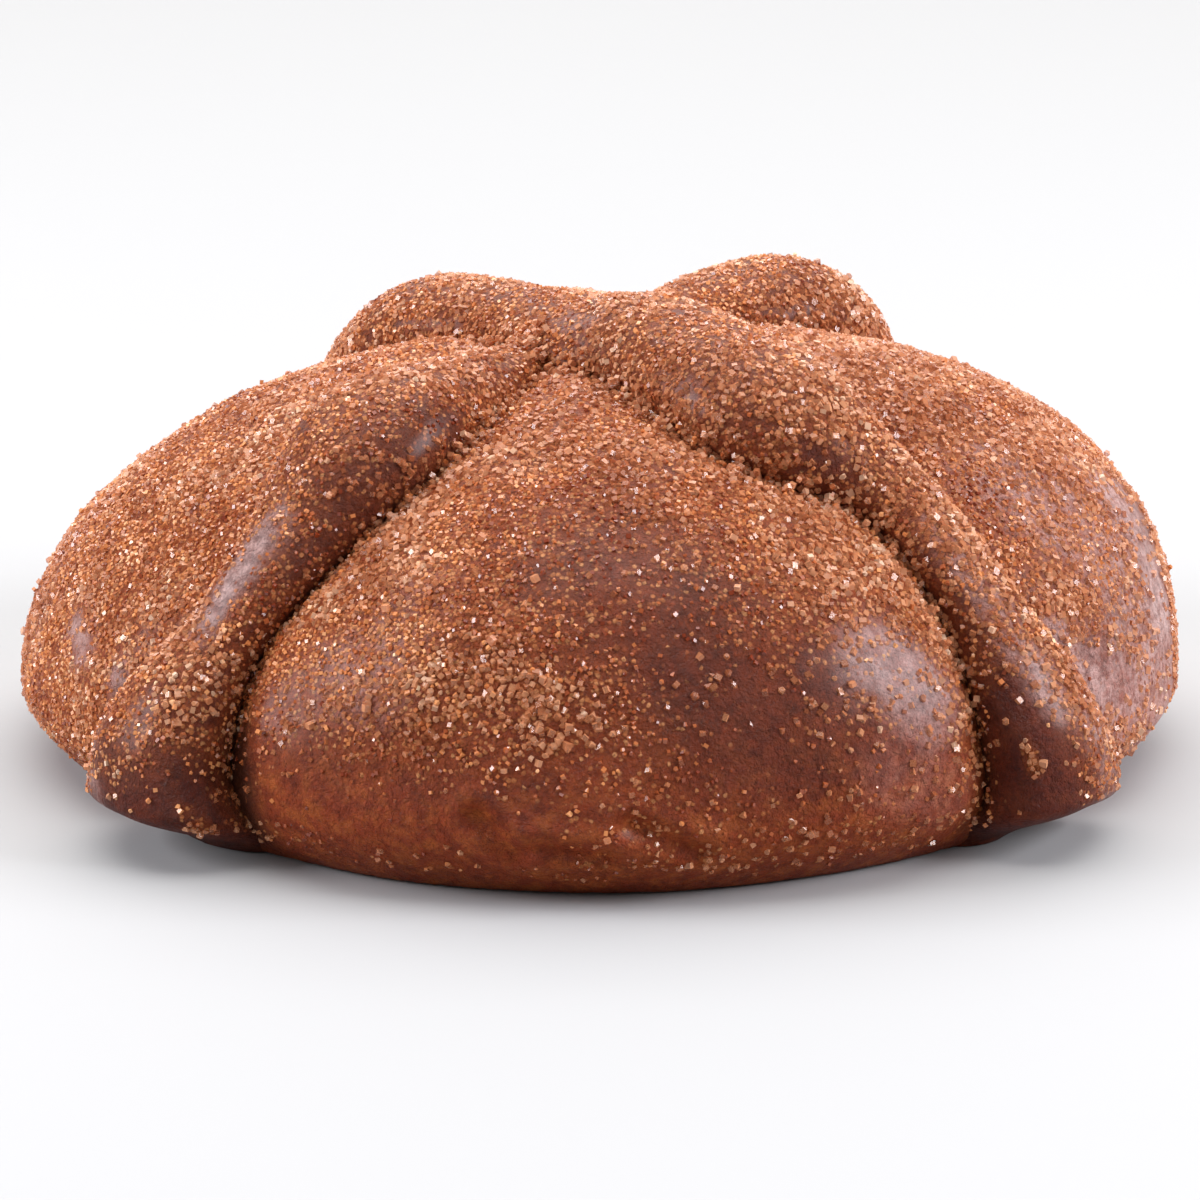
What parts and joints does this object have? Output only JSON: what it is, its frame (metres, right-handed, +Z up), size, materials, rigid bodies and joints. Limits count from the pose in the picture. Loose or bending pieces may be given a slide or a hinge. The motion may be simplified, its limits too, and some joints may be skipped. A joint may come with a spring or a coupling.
{
  "type": "pan de muerto",
  "caption": "Round sweet bread with crossed dough bones over its four swollen lobes, a glossy brown crust with coarse sugar stuck to it, and a flat base.",
  "frame": {"origin": "middle of the flat base, on the surface it rests on", "axes": "+Z up; -Y is the front, between the two nearest bone feet; +X is on the right seen from the front"},
  "size_m": [0.12, 0.1145, 0.0493],
  "materials": {
    "loaf_crust": "glossy baked crust with coarse sugar",
    "bone_crust": "glossy baked crust with coarse sugar"
  },
  "bodies": {
    "root": {"loaf": "loaf_crust", "bone_lower": "bone_crust", "bone_upper": "bone_crust"}
  },
  "joints": []
}
